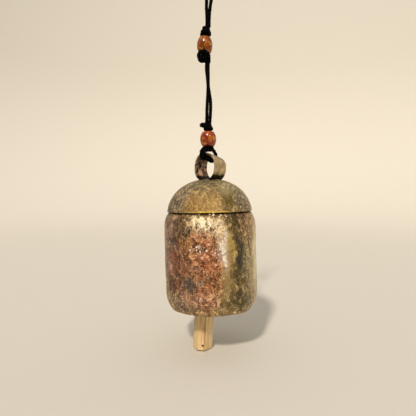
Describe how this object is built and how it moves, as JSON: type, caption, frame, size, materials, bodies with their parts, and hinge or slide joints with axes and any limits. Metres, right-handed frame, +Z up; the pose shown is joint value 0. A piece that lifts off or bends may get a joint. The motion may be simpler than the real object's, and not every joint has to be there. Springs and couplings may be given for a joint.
{
  "type": "hanging bell",
  "caption": "Hanging bell of lapped, coated sheet iron with a crown hoop and a wooden clapper on a wire link, hung in a knotted double cord with glass beads and a loop.",
  "frame": {"origin": "the underside of the hanging loop's top, where a hook or finger carries the bell", "axes": "+Z up, against the pull of the bell; the crown hoop's axis lies along Y; the picture is taken from azimuth 37 degrees, between -Y and +X"},
  "size_m": [0.058, 0.0572, 0.2426],
  "materials": {
    "coated_sheet_iron": "iron sheet with a fused, pitted coat of copper and brass, hammered and fire stained",
    "brass_hoop": "matte khaki brass coat outside, dark and copper flecked inside",
    "iron_wire": "dull wire",
    "pale_wood": "whittled, bare",
    "amber_glass": "glossy, streaked amber",
    "red_glass": "glossy, streaked red-orange",
    "black_cord": "braided, matte"
  },
  "bodies": {
    "hanging_loop": {"hanging_loop_cord": "black_cord", "upper_bead_top_knot": "black_cord", "upper_bead_bottom_knot": "black_cord"},
    "upper_bead": {"bead_upper": "amber_glass"},
    "doubled_cord": {"doubled_cord_left": "black_cord", "doubled_cord_right": "black_cord"},
    "sling": {"lower_bead_top_knot": "black_cord", "lower_bead_bottom_knot": "black_cord", "sling_cord_inner": "black_cord", "sling_cord_outer": "black_cord"},
    "lower_bead": {"bead_lower": "red_glass"},
    "bell": {"bell_body": "coated_sheet_iron", "dome_cap": "coated_sheet_iron", "crown_hoop": "brass_hoop", "clapper_eye": "iron_wire"},
    "link": {"wire_link": "iron_wire"},
    "clapper": {"clapper": "pale_wood"}
  },
  "joints": [
    {"name": "upper_bead_spin", "type": "hinge", "parent": "hanging_loop", "child": "upper_bead", "pos_m": [-0.00263, -0.00199, -0.0537], "axis": [0, 0, 1], "continuous": true},
    {"name": "cord_swing", "type": "hinge", "parent": "hanging_loop", "child": "doubled_cord", "pos_m": [-0.00139, -0.00106, -0.0621], "axis": [0, 1, 0], "range_deg": [-20, 20]},
    {"name": "sling_swing", "type": "hinge", "parent": "doubled_cord", "child": "sling", "pos_m": [-0.00096, -0.00073, -0.1025], "axis": [1, 0, 0], "range_deg": [-20, 20]},
    {"name": "lower_bead_spin", "type": "hinge", "parent": "sling", "child": "lower_bead", "pos_m": [-0.00096, -0.00073, -0.1101], "axis": [0, 0, 1], "continuous": true},
    {"name": "bell_swing", "type": "hinge", "parent": "sling", "child": "bell", "pos_m": [0, 0, -0.1209], "axis": [0, 1, 0], "range_deg": [-25, 25]},
    {"name": "link_swing", "type": "hinge", "parent": "bell", "child": "link", "pos_m": [-0.00069, 0, -0.14403], "axis": [0.7963, 0.6046, 0.0209], "range_deg": [-6, 6]},
    {"name": "clapper_swing", "type": "hinge", "parent": "link", "child": "clapper", "pos_m": [-0.00039, 0, -0.15552], "axis": [-0.6044, 0.7965, -0.0158], "range_deg": [-19.2, 10.8]}
  ]
}
